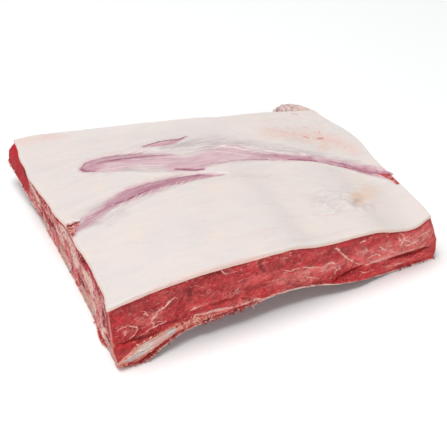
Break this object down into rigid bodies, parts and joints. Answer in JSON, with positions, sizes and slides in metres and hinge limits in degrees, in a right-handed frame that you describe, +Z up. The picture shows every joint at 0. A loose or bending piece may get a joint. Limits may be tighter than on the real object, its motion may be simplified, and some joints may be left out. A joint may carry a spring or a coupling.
{
  "type": "beef short rib slab",
  "caption": "Raw, square-cut slab of beef short ribs lying bone side down: a white fat cap over marbled red lean, with bone bared along one foot and a thin membrane lining the underside.",
  "frame": {"origin": "middle of the slab's box, on the surface it lies on", "axes": "+X along the ribs, from the deep sawn end to the narrow one; +Y from the long front cut face to the back; +Z up, out of the fat cap"},
  "size_m": [0.3052, 0.2624, 0.066],
  "materials": {
    "fat": "moist satin, off-white with faint pink and yellow tints",
    "surface_muscle": "moist, mauve muscle under a thin pale film",
    "lean": "moist, red with pink marbling and white seams",
    "lower_lean": "moist, darker red between bones",
    "bone": "dull cream, sawn ends redder",
    "membrane": "moist, pale pink and slightly see-through",
    "connective_tissue": "moist, greyish pink"
  },
  "bodies": {
    "root": {"fat_cap": "fat", "back_muscle_strip": "surface_muscle", "front_muscle_strip": "surface_muscle", "slit_muscle_strip": "surface_muscle", "lean_main": "lean", "lean_lower": "lower_lean", "rib_1": "bone", "rib_2": "bone", "rib_3": "bone", "rib_4": "bone", "underside_membrane": "membrane", "corner_flap": "connective_tissue"}
  },
  "joints": []
}
